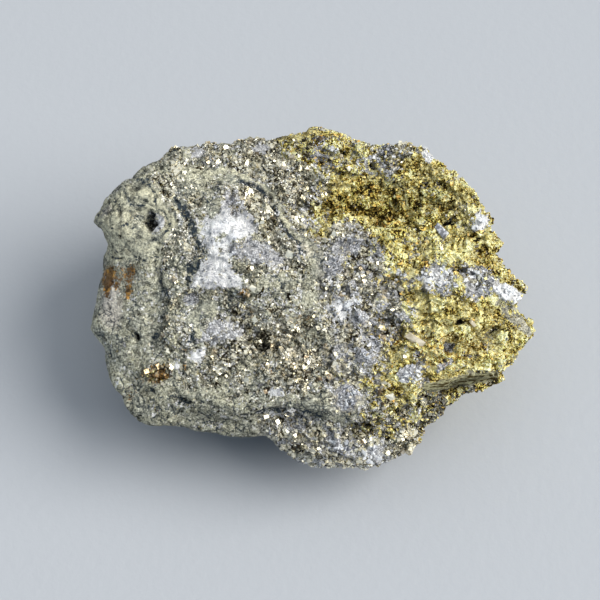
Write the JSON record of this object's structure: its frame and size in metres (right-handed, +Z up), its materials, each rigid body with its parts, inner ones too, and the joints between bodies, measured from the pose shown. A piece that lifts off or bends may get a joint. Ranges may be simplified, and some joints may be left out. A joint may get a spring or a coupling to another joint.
{
  "type": "quartz and chalcopyrite specimen",
  "caption": "Broken lump of grey-green quartz ore with white quartz, pyrite glints and a rough golden chalcopyrite end, resting on its flattest fracture.",
  "frame": {"origin": "on the floor under the middle of the stone's length and depth", "axes": "+X along the stone towards the golden chalcopyrite end, +Y towards the high back edge, +Z up"},
  "size_m": [0.095, 0.0728, 0.0464],
  "materials": {
    "ore": "rough broken ore with glinting sulphide grains"
  },
  "bodies": {
    "root": {"quartz_chalcopyrite_stone": "ore"}
  },
  "joints": []
}
